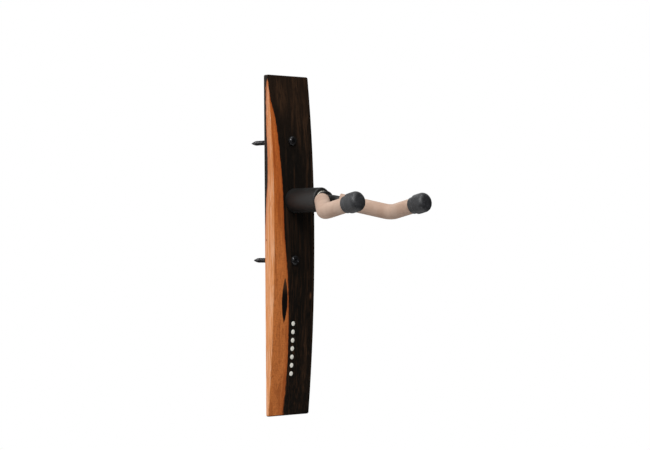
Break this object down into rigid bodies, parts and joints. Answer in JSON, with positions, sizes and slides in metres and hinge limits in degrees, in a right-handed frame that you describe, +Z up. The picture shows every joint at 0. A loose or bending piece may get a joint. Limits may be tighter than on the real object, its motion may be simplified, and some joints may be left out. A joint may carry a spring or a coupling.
{
  "type": "wall guitar hanger",
  "caption": "Wall hanger for a guitar: tall crowned hardwood backplate with a black barrel and a padded swivelling fork that holds the headstock.",
  "frame": {"origin": "where the fork's swivel axis meets the wall, midway between the two wall screws, on the backplate's flat back", "axes": "+X to the right of a person facing the hanger, +Y into the wall, +Z up along the backplate; the hanger stands out from the wall towards -Y"},
  "size_m": [0.0922, 0.1715, 0.285],
  "materials": {
    "hardwood": "oiled ebony with pale sapwood along the left edge, satin",
    "inlay": "pearly, polished flush with the wood",
    "black_metal": "satin black coating on steel or aluminium",
    "screw_black": "black oxide, slightly glossy",
    "bright_steel": "turned steel",
    "nylon": "natural nylon",
    "padding": "soft matt tan tubing",
    "cap_rubber": "soft dark grey moulding, satin"
  },
  "bodies": {
    "wall_side": {"backplate": "hardwood", "inlay_middle": "inlay", "inlay_upper_inner": "inlay", "inlay_upper_mid": "inlay", "inlay_upper_outer": "inlay", "inlay_lower_inner": "inlay", "inlay_lower_mid": "inlay", "inlay_lower_outer": "inlay", "barrel": "black_metal", "barrel_screw_upper": "bright_steel", "barrel_screw_lower": "bright_steel", "friction_screw": "screw_black", "friction_pad": "nylon", "wall_screw_upper": "screw_black", "wall_screw_lower": "screw_black"},
    "yoke": {"pivot_stud": "black_metal", "thrust_washer": "nylon", "fork_rod": "black_metal", "padding_left": "padding", "padding_right": "padding", "end_cap_left": "cap_rubber", "end_cap_right": "cap_rubber"}
  },
  "joints": [
    {"name": "yoke_swivel", "type": "hinge", "parent": "wall_side", "child": "yoke", "pos_m": [0, -0.046, 0], "axis": [0, -1, 0], "continuous": true}
  ]
}
